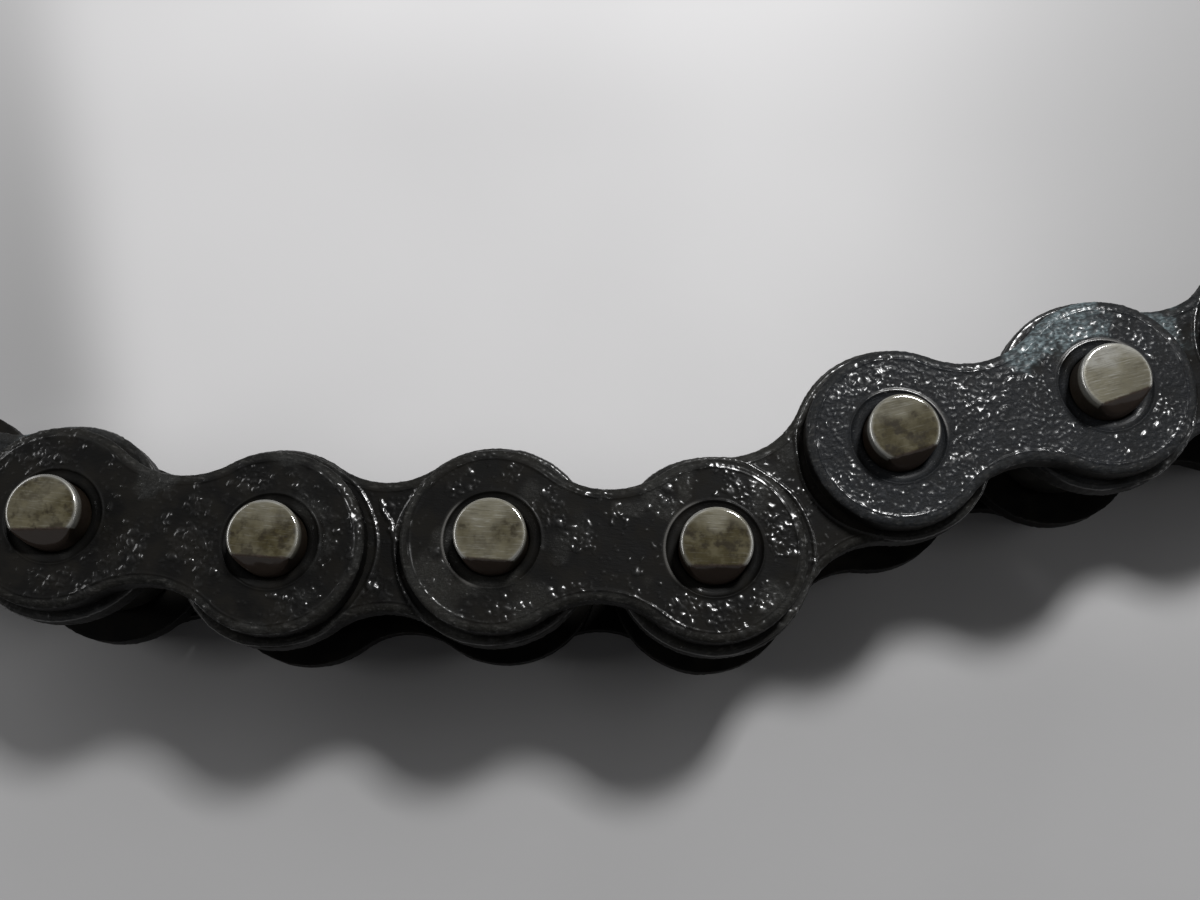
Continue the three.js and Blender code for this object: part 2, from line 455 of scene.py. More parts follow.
def ring_profile(hole, countersink, depth, thickness):
    """(radius, height) pairs of the coined ring round a pin, and down the hole."""
    lip = countersink + LIP_OUT
    return [
        (lip + 0.14 * MM, thickness),
        (lip + 0.05 * MM, thickness + 0.5 * RING_LIP),
        (lip, thickness + RING_LIP),
        (lip - 0.04 * MM, thickness + 0.5 * RING_LIP),
        (lip - 0.09 * MM, thickness - 0.8 * RING_LIP),
        (countersink - 0.11 * MM, thickness - 0.27 * depth),
        (0.5 * hole + 0.5 * countersink, thickness - 0.32 * depth),
        (hole + 0.12 * MM, thickness - 0.38 * depth),
        (hole + 0.04 * MM, thickness - 0.55 * depth),
        (hole, thickness - depth),
        (hole, ARRIS),
        (hole + ARRIS, 0.0),
    ]


def plain_hole_profile(hole, thickness):
    """(radius, height) pairs of a pressed bushing's hole."""
    edge = 0.05 * MM
    return [
        (hole + edge, thickness),
        (hole, thickness - edge),
        (hole, edge),
        (hole + edge, 0.0),
    ]


def plate_shell(sizes, hole_profile, spacing):
    """One plate's clean mesh: its inward face on z = 0 and its rolled edge on the outward side."""
    shell = Shell()
    rim_spacing = max(spacing, LEAST_RIM_SPACING)
    rim = [
        shell.add(sizes.loop(inset, rim_spacing), height)
        for inset, height in rim_profile(sizes.thickness)
    ]
    shell.skin(rim)
    holes = []
    for x in (0, sizes.pitch):
        loops = [
            shell.add(ring(HOLE_SIDES, radius, x), height) for radius, height in hole_profile
        ]
        shell.skin([loop[::-1] for loop in loops])
        holes.append(loops)
    low = (-sizes.eye, -sizes.eye)
    high = (sizes.pitch + sizes.eye, sizes.eye)
    for end, gap, height in ((0, spacing, sizes.thickness), (-1, COARSE_SPACING, 0.0)):
        inset = BEAD_INSET if end == 0 else ARRIS
        hole = hole_profile[end][0]
        points = hexagonal(low, high, gap, PLATE_SHAKE)
        clear = 0.6 * gap
        in_outline = sizes.depth(*points.T) > inset + clear
        off_holes = sizes.from_eye(*points.T) > hole + clear
        points = points[in_outline & off_holes]
        outer = sizes.loop(inset, rim_spacing)
        rings = [ring(HOLE_SIDES, hole, x) for x in (0, sizes.pitch)]
        triangles = fill([outer, *rings], points)
        numbers = np.concatenate(
            [rim[end], holes[0][end], holes[1][end], shell.add(points, height)]
        )
        faces = numbers[triangles]
        shell.faces.append(faces if end == 0 else faces[:, ::-1])
    return shell


def ridges(points, paths, width):
    """Heights from 0 to 1 of thin ridges along paths, given in millimetres in the link's frame."""
    flat = points[:, :2]
    height = np.zeros(len(points))
    for path in paths:
        corners = np.array(path) * MM
        for start, end in zip(corners, corners[1:]):
            along = end - start
            share = np.clip((flat - start) @ along / (along @ along), 0, 1)
            gap = np.linalg.norm(flat - start - share[:, None] * along, axis=1)
            height = np.maximum(height, 1 - step(0.3 * width, width, gap))
    return height


def patches(points, spots, seed):
    """How far each point lies in ragged patches, given as x, y and radius in millimetres."""
    cover = np.zeros(len(points))
    ragged = 0.9 * (noise(points, 0.6 * MM, seed) - 0.5)
    for x, y, radius in spots:
        gap = np.hypot(points[:, 0] / MM - x, points[:, 1] / MM - y) / radius + ragged
        cover = np.maximum(cover, 1 - step(0.5, 1.0, gap))
    return cover


def warped(points, size, seed):
    """The points, pushed about sideways so that what is drawn over them loses its round shape."""
    shift = [noise(points, size, seed + axis) - 0.5 for axis in range(2)]
    return points + np.column_stack([*shift, np.zeros(len(points))]) * size


def grit_cover(points, edge, grit, seed):
    """How far each point lies under dry grit. edge is 1 at the plate's outline."""
    patch = 0.6 * noise(points, 2.6 * MM, seed) + 0.4 * noise(points, 1.0 * MM, seed + 1)
    return step(0.78 - 0.62 * grit, 0.95 - 0.62 * grit, patch + 0.10 * edge)


def drop_cover(points, bent, edge, spots, seed):
    """How far each point lies in a cluster of oil drops, at a chosen spot or at random."""
    cluster = noise(points, 1.7 * MM, seed + 7) * 0.6 + noise(points, 0.7 * MM, seed + 8) * 0.4
    cluster = 0.6 * step(0.56, 0.70, cluster + 0.05 * edge)
    return np.maximum(cluster, patches(bent, spots, seed + 90))


def drop_heights(bent, cluster, out, ring_clear, wet, seed):
    """Heights from 0 to 1 of drops in clusters, of fine drops and of lone drops."""
    drops = grains(bent, DROP_SIZE, 0.65 * cluster * wet, seed + 30)
    fine = grains(bent, FINE_DROP_SIZE, (0.05 + 0.7 * cluster) * wet * out, seed + 70)
    lone = grains(bent, LONE_DROP_SIZE, 0.025 * ring_clear, seed + 50)
    return np.maximum(np.maximum(drops, 0.6 * fine), lone)


def grease_heights(points, bent, out, from_eye, covered, paths, seed):
    """Heights of strings of grease, and of the rope that an outer plate pushes up round itself
    where it covers this one, as far as covered from an eye's centre."""
    grease = ridges(bent, paths, GREASE_WIDTH) * out
    if covered:
        pushed = covered + 0.16 * MM + 0.5 * MM * noise(points, (3 * MM, 3 * MM, MM), seed + 9)
        grease += (1 - step(0.05 * MM, 0.13 * MM, np.abs(from_eye - pushed))) * out
    return grease


def wall_heights(points, wall, thickness, seed):
    """Heights of a stamped edge's upright streaks and, on its inward part, its torn grain."""
    streaks = noise(points, (0.16 * MM, 0.16 * MM, 1.2 * MM), seed + 5) - 0.5
    inward = step(0.55, 0.3, points[:, 2] / thickness)
    torn = (noise(points, 0.14 * MM, seed + 6) - 0.5) * inward
    return wall * MM * (0.035 * streaks + 0.05 * torn)


def plate_grime(points, normals, sizes, grime, seed, covered):
    """How far each vertex moves along its normal, and the plate's material layers."""
    x, y, z = points.T
    depth = sizes.depth(x, y)
    from_eye = sizes.from_eye(x, y)
    edge = 1 - step(0.25 * MM, 1.0 * MM, depth)
    bent = warped(points, 0.30 * MM, seed + 40)

    # Where each vertex is: on the outward face, on the wall, clear of the ring, in the open.
    out = step(0.2, 0.6, normals[:, 2])
    wall = step(0.5, 0.9, np.hypot(normals[:, 0], normals[:, 1]))
    ring_clear = step(*RING_CLEARANCE, from_eye)
    clear = out * (1 - 0.75 * step(covered + 0.15 * MM, covered - 0.1 * MM, from_eye))
    roll = step(ROLL_WIDTH + 0.07 * MM, ROLL_WIDTH - 0.1 * MM, depth) * step(0.02, 0.3, normals[:, 2])
    bead = step(ROLL_WIDTH - 0.05 * MM, ROLL_WIDTH + 0.05 * MM, depth)
    bead *= step(BEAD_INSET + 0.03 * MM, BEAD_INSET - 0.07 * MM, depth)
    arris = wall * step(0.10, 0.03, z / sizes.thickness)
    # The lip is painted bright towards the lamps: partly rubbed metal, partly a painted highlight.
    lip = (1 - step(0.03 * MM, 0.10 * MM, np.abs(from_eye - LIP_WEAR_AND_HIGHLIGHT))) * out
    lip *= sizes.facing(x, y, grime.get("lips"))

    grit = grit_cover(points, edge, grime["grit"], seed)
    grit *= out
    residue = patches(bent, grime.get("residue", ()), seed + 80)
    residue *= out * ring_clear
    cluster = drop_cover(points, bent, edge, grime.get("drops", ()), seed)
    cluster *= ring_clear * out
    sand = grains(bent, SAND_SIZE, 0.85 * np.maximum(grit, residue) * ring_clear, seed + 10)
    sand *= clear
    drops = drop_heights(bent, cluster, out, ring_clear, grime["wet"], seed) * clear
    grease = grease_heights(points, bent, out, from_eye, covered, grime.get("grease", ()), seed)
    crumbs = grains(bent, CRUMB_SIZE, 0.75, seed + 60) * roll * clear

    ripple = noise(points, 1.5 * MM, seed + 3) + 0.4 * noise(points, 0.5 * MM, seed + 4)
    bead_noise = noise(points, 0.9 * MM, seed + 12) + 0.6 * noise(points, 0.3 * MM, seed + 13)
    height = RIPPLE_HEIGHT * (ripple - 0.7) * clear
    height += SAND_HEIGHT * sand * (0.6 + 0.4 * grime["blue"])
    height += DROP_HEIGHT * grime["wet"] * drops
    height += GREASE_HEIGHT * np.minimum(grease, 1)
    height += 1.4 * BEAD_HEIGHT * (bead_noise - 0.9) * bead * out
    height += CRUMB_HEIGHT * crumbs
    height += wall_heights(points, wall, sizes.thickness, seed)

    wet = np.clip(drops * 2 + grease * 1.5, 0, 1)
    wet_bead = bead * out * sizes.facing(x, y, grime.get("beads"))
    wet_bead *= step(0.25, 0.55, noise(points, 0.8 * MM, seed + 14))
    layers = {
        "grit": grit,
        "sand": sand * step(0.2, 0.7, noise(points, 2.2 * MM, seed + 15)),
        "wet": np.maximum(wet, wet_bead),
        "roll": np.maximum(roll * (0.4 + 0.6 * crumbs), arris),
        "residue": residue,
        "lip": lip,
    }
    return height, layers


def make_plate(kind, side, number, shell, sizes, place, grime, material, covered):
    """One link plate. A bottom plate is the same shape turned over. covered is how far from an
    eye's centre an outer plate covers this one, or 0."""
    node = f"{kind}_plate_{side}_{number}"
    low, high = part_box(node)
    points = shell.points()
    normals = face_normals(points, shell.faces)
    seed = 100 * number + (10 if side == "top" else 20) + (5 if kind == "outer" else 0)
    height, layers = plate_grime(points, normals, sizes, grime, seed, covered)
    points = points + normals * height[:, None]
    if side == "top":
        stand = Matrix.Translation((0, 0, low.z))
    else:
        stand = Matrix.Translation((0, 0, high.z)) @ Matrix.Rotation(math.pi, 4, "X")
    make_piece(
        f"worn_{node}", node, points, shell.faces, layers, place @ stand, material
    )


# ---------- pins, bushings and rollers ----------


def slanted_flat(node, place):
    """A point on a CAD pin's slanted flat, and its normal, in the link's frame."""
    points, triangles = cad_mesh(node, place)
    a, b, c = (points[triangles[:, i]] for i in range(3))
    cross = np.cross(b - a, c - a)
    area = np.linalg.norm(cross, axis=1)
    slope = cross[:, 2] / np.maximum(area, 1e-20)
    slanted = (slope > 0.15) & (slope < 0.6)
    best = np.where(slanted, area, 0).argmax()
    return a[best], cross[best] / area[best]


def pin_shell(radius, low, top_at):
    """A pin's clean mesh round the Z axis. top_at gives its upper end's height at flat points."""
    shell = Shell()
    foot = []
    for angle in np.linspace(0, math.pi / 2, 6):
        inset = PIN_ROUND * (1 - math.sin(angle))
        drop = PIN_ROUND * (1 - math.cos(angle))
        foot.append(shell.add(ring(PIN_SIDES, radius - inset), low + drop))
    rounded = []
    for angle in np.linspace(0, math.pi / 2, 8):
        inset = PIN_ROUND * (1 - math.cos(angle))
        drop = PIN_ROUND * (1 - math.sin(angle))
        loop = ring(PIN_SIDES, radius - inset)
        rounded.append(shell.add(loop, top_at(loop) - drop))
    wall_top = top_at(ring(PIN_SIDES, radius)) - PIN_ROUND
    wall_foot = low + PIN_ROUND
    walls = [
        shell.add(ring(PIN_SIDES, radius), wall_foot + share * (wall_top - wall_foot))
        for share in (0.06, 0.5, 0.84, 0.88, 0.93, 0.97)
    ]
    shell.skin([*rounded[::-1], *walls[::-1], *foot[::-1]])

    inner = radius - PIN_ROUND
    extent = np.array((radius, radius))
    dots = hexagonal(-extent, extent, PIN_END_SPACING, PIN_SHAKE)
    dots = dots[np.hypot(*dots.T) < inner - 0.6 * PIN_END_SPACING]
    triangles = fill([ring(PIN_SIDES, inner)], dots)
    upper = np.concatenate([rounded[-1], shell.add(dots, top_at(dots))])
    lower = np.concatenate([foot[0], shell.add(dots, low)])
    shell.faces += [upper[triangles], lower[triangles][:, ::-1]]
    return shell


def pin_layers(points, normals, radius, top, clearance, flat_normal, stains, seed):
    """A pin's material layers. clearance is how far the slanted flat's plane passes above the level end
    at each point, and stains are from PIN_STAINS_AND_SHEEN: real stains, with a painted sheen towards
    +Y."""
    out = np.hypot(points[:, 0], points[:, 1])
    upper = step(top - 0.45 * MM, top - 0.3 * MM, points[:, 2])
    level = upper * step(-0.02 * MM, 0.05 * MM, clearance)
    downhill = np.array((flat_normal[0], flat_normal[1], 0)) / math.hypot(flat_normal[0], flat_normal[1])
    worn = 0.3 + 0.7 * step(0.35, 0.65, noise(points, 1.3 * MM, seed + 6))
    wavy = points[:, 1] / radius + 0.6 * (noise(points, 0.9 * MM, seed + 5) - 0.5)
    middle_stain, upper_stain_and_sheen = stains
    on_flat = step(0.85, 0.96, normals @ np.array(flat_normal))
    below_flat = step(0.7, 0.95, normals @ downhill)
    return {
        # Stains run from the middle value to the +Y value. The paler +Y side is partly real stain and
        # partly a painted sheen on the key lamp's side.
        "stain": middle_stain + (upper_stain_and_sheen - middle_stain) * step(0.05, 0.75, wavy),
        "rim": worn * level * step(radius - 1.2 * PIN_ROUND, radius - 0.5 * PIN_ROUND, out),
        "dirty": 1 - level,
        "slant": np.maximum(on_flat, below_flat),
    }


def make_pin(side, number, place, pitch, material):
    """A pressed pin whose upper end has a rounded edge and one slanted flat."""
    node = f"pin_{side}_{number}"
    low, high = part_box(node)
    x = 0 if side == "left" else pitch
    cad_points, _ = cad_mesh(node, place)
    radius = np.hypot(cad_points[:, 0] - x, cad_points[:, 1]).max()
    point, flat_normal = slanted_flat(node, place)

    def flat_at(flat):
        """The height of the slanted flat's plane."""
        across = (flat[:, 0] + x - point[0]) * flat_normal[0] + (flat[:, 1] - point[1]) * flat_normal[1]
        return point[2] - across / flat_normal[2]

    def top_at(flat):
        """The height of the pin's upper end, level or on its slanted flat."""
        return np.minimum(high.z, flat_at(flat))

    shell = pin_shell(radius, low.z, top_at)
    points = shell.points()
    normals = face_normals(points, shell.faces)
    seed = 1000 + 10 * number + (1 if side == "left" else 2)
    clearance = flat_at(points) - high.z
    stains = PIN_STAINS_AND_SHEEN[number][side == "right"]
    layers = pin_layers(points, normals, radius, high.z, clearance, flat_normal, stains, seed)
    height = PIN_DENTS * (noise(points, 0.55 * MM, seed) - 0.5)
    make_piece(
        f"worn_{node}", node, points + normals * height[:, None], shell.faces, layers,
        place @ Matrix.Translation((x, 0, 0)), material,
    )


def lathe(profile, sides):
    """A closed turned shell from a closed profile of (radius, height) pairs."""
    shell = Shell()
    loops = [shell.add(ring(sides, radius), height) for radius, height in profile]
    shell.skin([*loops, loops[0]])
    return shell


def tube_profile(bore, radius, length, edge, steps):
    """(radius, height) pairs of a tube with rounded outer edges: down outside and up the bore."""
    profile = []
    for angle in np.linspace(0, math.pi / 2, 6):
        inset = edge * (1 - math.sin(angle))
        profile.append((radius - inset, length - edge * (1 - math.cos(angle))))
    for height in np.linspace(length - edge, edge, steps)[1:-1]:
        profile.append((radius, height))
    for angle in np.linspace(math.pi / 2, 0, 6):
        inset = edge * (1 - math.sin(angle))
        profile.append((radius - inset, edge * (1 - math.cos(angle))))
    small = 0.3 * edge
    profile += [(bore + small, 0), (bore, small)]
    for height in np.linspace(small, length - small, 6)[1:-1]:
        profile.append((bore, height))
    profile += [(bore, length - small), (bore + small, length)]
    return profile


def make_tube(kind, side, number, place, pitch, material):
    """A bushing or a roller: a turned tube with slight dents."""
    edge, steps, dent_depth = TUBES[kind]
    node = f"{kind}_{side}_{number}"
    low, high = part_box(node)
    x = 0 if side == "left" else pitch
    cad_points, _ = cad_mesh(node, place)
    radii = np.hypot(cad_points[:, 0] - x, cad_points[:, 1])
    shell = lathe(tube_profile(radii.min(), radii.max(), high.z - low.z, edge, steps), PIN_SIDES)
    points = shell.points()
    normals = face_normals(points, shell.faces)
    seed = 2000 + 10 * number + (1 if side == "left" else 2) + (500 if kind == "roller" else 0)
    dents = noise(points, 0.8 * MM, seed) + 0.5 * noise(points, 0.3 * MM, seed + 1) - 0.75
    points = points + normals * (dent_depth * dents)[:, None]
    stand = Matrix.Translation((x, 0, low.z))
    make_piece(f"worn_{node}", node, points, shell.faces, {}, place @ stand, material)


# ---------- materials ----------


class Material:
    """A short way to write a material's nodes."""

    def __init__(self, name):
        self.material = bpy.data.materials.new(name)
        self.material.use_nodes = True
        self.tree = self.material.node_tree
        self.tree.nodes.clear()

    def add(self, kind, settings=None, **inputs):
        """Adds a node. An input's value is a constant or another node's output."""
        node = self.tree.nodes.new("ShaderNode" + kind)
        for name, value in (settings or {}).items():
            setattr(node, name, value)
        for name, value in inputs.items():
            self.feed(node, name.replace("_", " "), value)
        return node

    def feed(self, node, name, value):
        """name is an input's name, or its number as in 'n2'."""
        socket = node.inputs[int(name[1:])] if name[1:].isdigit() else node.inputs[name]
        if isinstance(value, bpy.types.NodeSocket):
            self.tree.links.new(value, socket)
        else:
            socket.default_value = value

    def math(self, operation, a, b=0.0, clamp=False):
        """A sum, product or other reckoning of two values."""
        settings = {"operation": operation, "use_clamp": clamp}
        return self.add("Math", settings, n0=a, n1=b).outputs[0]

    def step(self, value, low, high, to_low=0.0, to_high=1.0):
        """A smooth step of a value, onto the range to_low to to_high."""
        settings = {"interpolation_type": "SMOOTHSTEP"}
        node = self.add(
            "MapRange", settings, n0=value, n1=low, n2=high, n3=to_low, n4=to_high
        )
        return node.outputs[0]

    def mix(self, share, a, b):
        """A blend of two colours."""
        node = self.add("Mix", {"data_type": "RGBA"}, n0=share, n6=a, n7=b)
        return node.outputs[2]

    def place(self, offset, scale=(1, 1, 1), turn=0.0):
        """The piece's own coordinates, in millimetres."""
        coordinates = self.add("TexCoord").outputs["Object"]
        scale_mm = tuple(s / MM for s in scale)
        return self.add(
            "Mapping", Vector=coordinates, Location=offset, Scale=scale_mm, Rotation=(0, 0, turn)
        ).outputs[0]

    def noise(self, where, size, detail=2.0, roughness=0.5):
        """Noise with bumps of a size in millimetres."""
        return self.add(
            "TexNoise", Vector=where, Scale=1 / size, Detail=detail, Roughness=roughness
        ).outputs[0]

    def layer(self, name):
        """One of the mesh's layers."""
        return self.add("Attribute", {"attribute_name": name}).outputs["Fac"]

    def finish(self, bump_height, bump_distance, **inputs):
        """The surface: a Principled shader with a bump, whose distance is in millimetres."""
        bump = self.add("Bump", Height=bump_height, Distance=bump_distance * MM, Strength=1.0)
        shader = self.add("BsdfPrincipled", Normal=bump.outputs[0])
        for name, value in inputs.items():
            self.feed(shader, name.replace("_", " "), value)
        self.add("OutputMaterial", Surface=shader.outputs[0])
        return self.material


OIL = (0.0030, 0.0029, 0.0027, 1)
OIL_BROWN = (0.0062, 0.0056, 0.0045, 1)
GRIT_GREY = (0.036, 0.036, 0.033, 1)
GRIT_BLUE = (0.025, 0.030, 0.039, 1)
GRIT_PALE = (0.22, 0.22, 0.21, 1)
TEAL = (0.18, 0.23, 0.245, 1)
BARE_STEEL = (0.16, 0.155, 0.145, 1)
PIN_GREY = (0.165, 0.155, 0.118, 1)
PIN_OLIVE = (0.038, 0.031, 0.012, 1)
PIN_TAN = (0.125, 0.112, 0.068, 1)
PIN_STAIN = (0.014, 0.010, 0.005, 1)
PIN_GRIME = (0.013, 0.009, 0.007, 1)
PIN_BROWN = (0.062, 0.046, 0.037, 1)
PIN_SKIN = (0.34, 0.34, 0.32, 1)

# The light and dark of each oiled steel, and how much finer its turning marks are along the axis.
BUSHING_STEEL = ((0.12, 0.115, 0.10, 1), (0.04, 0.037, 0.031, 1))
ROLLER_STEEL = ((0.050, 0.048, 0.043, 1), (0.020, 0.0185, 0.016, 1))
TURNING_MARKS = (1, 1, 8)


def blend(share, a, b):
    """A colour between a and b."""
    return tuple(p + (q - p) * share for p, q in zip(a, b))


def plate_material(name, grime, seed):
    """Blackened plate steel under an oil film, with grit, grease, rubbed edges, and ring lips painted
    bright: partly rubbed metal, partly a painted highlight.
    """
    m = Material(name)
    offset = (3.7 * seed, 1.9 * seed, 0)
    where = m.place(offset)
    along = m.place(offset, scale=(0.35, 1, 1), turn=0.3)
    grit, sand, wet, roll, residue, lip = (
        m.layer(layer) for layer in ("grit", "sand", "wet", "roll", "residue", "lip")
    )

    blotch = m.noise(where, 1.8, 3)
    specks = m.noise(along, 0.15, 2, 0.6)
    fine = m.noise(where, 0.08, 2, 0.6)
    dust = m.math("MULTIPLY", m.step(fine, 0.45, 0.75), m.math("MAXIMUM", grit, roll))
    pale = m.math("MULTIPLY", m.step(specks, 0.66, 0.78), m.math("MAXIMUM", grit, roll))

    grit_colour = blend(grime["blue"], GRIT_GREY, GRIT_BLUE)
    base = m.mix(m.step(blotch, 0.4, 0.65), OIL, OIL_BROWN)
    base = m.mix(m.math("MULTIPLY", grit, 0.22), base, grit_colour)
    base = m.mix(m.math("MULTIPLY", dust, 0.5), base, grit_colour)
    base = m.mix(m.math("MULTIPLY", sand, 0.35), base, grit_colour)
    base = m.mix(m.math("MULTIPLY", roll, 0.28), base, GRIT_GREY)
    base = m.mix(m.math("MULTIPLY", pale, 0.45), base, GRIT_PALE)
    caked = m.math("ADD", m.math("MULTIPLY", sand, 0.6), m.step(specks, 0.45, 0.7, 0.12, 0.6))
    pale_residue = m.math("MULTIPLY", residue, caked, clamp=True)
    base = m.mix(pale_residue, base, TEAL)
    rubbed = m.math("MULTIPLY", m.step(m.noise(along, 0.25, 3), 0.54, 0.7), roll)
    base = m.mix(m.math("MULTIPLY", rubbed, 0.25), base, BARE_STEEL)
    # Painted highlight on the lip, as bare steel, which partly stands for rubbed metal.
    base = m.mix(m.math("MULTIPLY", lip, 0.5), base, BARE_STEEL)

    rough = m.step(blotch, 0.3, 0.7, 0.5, 0.65)
    bump = m.math("ADD", m.math("MULTIPLY", specks, 0.8), m.math("MULTIPLY", fine, 0.35))
    rugged = m.math("ADD", m.math("MULTIPLY", m.math("MAXIMUM", grit, roll), 0.5), 0.3)
    bump = m.math("MULTIPLY", bump, rugged)
    coat = m.math("MAXIMUM", m.math("MULTIPLY", sand, 0.26 * grime["wet"]), wet)
    coat = m.math("MAXIMUM", coat, lip)
    coat = m.math("MAXIMUM", coat, 0.03)
    return m.finish(
        bump, 0.05,
        Base_Color=base, Metallic=m.math("MULTIPLY", rubbed, 0.6), Roughness=rough,
        Specular_IOR_Level=0.07, Coat_Weight=coat, Coat_Roughness=0.21,
    )


def pin_material():
    """Satin pin steel under olive and brown stains, with a painted sheen towards +Y, scratches and dark
    pits.
    """
    m = Material("pin_steel")
    random = m.add("ObjectInfo").outputs["Random"]
    across, up = m.math("MULTIPLY", random, 37.0), m.math("MULTIPLY", random, 91.0)
    shift = m.add("CombineXYZ", X=across, Y=up).outputs[0]
    where = m.add("VectorMath", {"operation": "ADD"}, n0=m.place((0, 0, 0)), n1=shift).outputs[0]
    stretched = m.add(
        "Mapping", Vector=where, Scale=(0.25, 4.0, 1), Rotation=(0, 0, 0.12)
    ).outputs[0]
    stain = m.noise(where, 2.2, 3, 0.55)
    mottle = m.noise(where, 0.8, 3, 0.6)
    scratches = m.noise(stretched, 0.3, 3, 0.7)
    spots = m.noise(where, 0.75, 3, 0.6)
    stain_and_sheen_layer = m.layer("stain")
    # The stain layer also holds a painted sheen: most ends are paler towards +Y, the key lamp's side.
    stained_and_sheened = m.math("ADD", stain_and_sheen_layer, m.step(stain, 0.35, 0.65, -0.2, 0.2), clamp=True)
    base = m.mix(stained_and_sheened, PIN_GREY, PIN_OLIVE)
    base = m.mix(m.step(stain_and_sheen_layer, -0.3, 0.1, 0.55, 0.0), base, PIN_SKIN)
    base = m.mix(m.step(mottle, 0.42, 0.7, 0.0, 0.4), base, PIN_TAN)
    scratched = m.step(stained_and_sheened, 0.0, 0.9, 0.36, 0.08)
    dark_lines = m.math("MULTIPLY", m.step(scratches, 0.52, 0.66), scratched)
    pale_lines = m.math("MULTIPLY", m.step(scratches, 0.34, 0.46, 1.0, 0.0), scratched)
    base = m.mix(dark_lines, base, PIN_STAIN)
    base = m.mix(pale_lines, base, PIN_SKIN)
    spotted = m.math("MULTIPLY", m.step(spots, 0.46, 0.66), m.step(stained_and_sheened, 0.3, 0.9, 0.1, 0.8))
    base = m.mix(spotted, base, PIN_STAIN)
    rim, dirty = m.layer("rim"), m.layer("dirty")
    base = m.mix(m.math("MULTIPLY", dirty, 0.93), base, PIN_GRIME)
    base = m.mix(m.math("MULTIPLY", m.layer("slant"), 0.85), base, PIN_BROWN)
    base = m.mix(m.math("MULTIPLY", rim, 0.75), base, PIN_SKIN)
    bump = m.math("ADD", m.math("MULTIPLY", scratches, 0.5), m.math("MULTIPLY", mottle, 0.5))
    return m.finish(
        bump, 0.004,
        Base_Color=base, Metallic=m.math("MULTIPLY", rim, 0.75), Roughness=0.45,
        Specular_IOR_Level=0.02, Coat_Weight=m.step(dirty, 0.0, 1.0, 1.0, 0.25),
        Coat_Roughness=0.07, Coat_IOR=1.9,
    )


def oiled_material(name, light, dark):
    """Turned steel under dark oil: rollers and bushings."""
    m = Material(name)
    where = m.place((5, 9, 2))
    around = m.place((0, 0, 0), scale=TURNING_MARKS)
    blotch = m.noise(where, 1.5, 4, 0.6)
    lines = m.noise(around, 0.3, 3, 0.6)
    fine = m.noise(where, 0.12, 2)
    base = m.mix(m.step(blotch, 0.30, 0.72), dark, light)
    base = m.mix(m.step(lines, 0.5, 0.75, 0.0, 0.35), base, light)
    base = m.mix(m.step(fine, 0.55, 0.8, 0.0, 0.3), base, OIL)
    rough = m.step(blotch, 0.3, 0.7, 0.30, 0.42)
    bump = m.math("ADD", m.math("MULTIPLY", lines, 0.6), m.math("MULTIPLY", fine, 0.4))
    return m.finish(bump, 0.02, Base_Color=base, Metallic=0.7, Roughness=rough, Coat_Weight=0.4)


# ---------- the chain ----------


def countersink_size(node, place):
    """The radius and depth of the coined ring in a CAD outer plate's upper face."""
    points, _ = cad_mesh(node, place)
    levels = np.unique(np.round(points[:, 2], 7))
    upper = points[points[:, 2] > levels[-1] - 1e-7]
    return np.hypot(upper[:, 0], upper[:, 1]).min(), levels[-1] - levels[1]


def build_chain():
    outer_place, pitch = link_frame("outer", 1)
    inner_place, _ = link_frame("inner", 1)
    outer = PlateSizes("outer_plate_top_1", outer_place, pitch)
    inner = PlateSizes("inner_plate_top_1", inner_place, pitch)
    countersink, depth = countersink_size("outer_plate_top_1", outer_place)
    sizes = {"outer": outer, "inner": inner}
    holes = {
        "outer": ring_profile(outer.hole, countersink, depth, outer.thickness),
        "inner": plain_hole_profile(inner.hole, inner.thickness),
    }
    covered = {"outer": 0.0, "inner": outer.eye}
    shells = {
        (kind, side): plate_shell(sizes[kind], holes[kind], spacing)
        for kind in sizes
        for side, spacing in (("top", FINE_SPACING), ("bottom", COARSE_SPACING))
    }

    pin_steel = pin_material()
    bushing_steel = oiled_material("bushing_steel", *BUSHING_STEEL)
    roller_steel = oiled_material("roller_steel", *ROLLER_STEEL)
    for index in range(2 * INNER_LINKS - 1):
        kind, number = ("inner", "outer")[index % 2], index // 2 + 1
        link = f"{kind}_link_{number}"
        place, pitch = link_frame(kind, number)
        grime = LINK_GRIME[link]
        plate_steel = plate_material(f"{link}_steel", grime, index + 1)
        for side in ("top", "bottom"):
            make_plate(
                kind, side, number, shells[kind, side], sizes[kind], place, grime, plate_steel,
                covered[kind],
            )
        for side in ("left", "right"):
            if kind == "outer":
                make_pin(side, number, place, pitch, pin_steel)
            else:
                make_tube("bushing", side, number, place, pitch, bushing_steel)
                make_tube("roller", side, number, place, pitch, roller_steel)


# ---------- floor, light and camera ----------

VIEW_TARGET_OFFSET = Vector((-0.20, 5.54, 0)) * MM   # from the second outer link's centre
VIEW_DISTANCE = 74.62 * MM
VIEW_TILT = math.radians(15.53)                      # from straight down, towards -Y
VIEW_TURN = math.radians(2.48)
VIEW_ROLL = math.radians(0.16)
LENS = 38.53                    # in millimetres, as the sensor's width is
SENSOR_WIDTH = 36
CLIP = (0.005, 10)

# Each lamp's turn from +Y towards +X and its elevation, in degrees, its distance from the point
# that the camera looks at, its width and height, and its power in watts.
LAMPS = {
    "key": (30, 57, 0.55, (0.08, 0.08), 2.75),
    "left_strip": (-70, 33, 0.6, (0.6, 0.12), 1.5),
    "right_strip": (78, 33, 0.6, (0.5, 0.08), 0.5),
}
WORLD_COLOUR = (0.075, 0.075, 0.077, 1)

FLOOR_HALF = 1.5                # half the floor's width
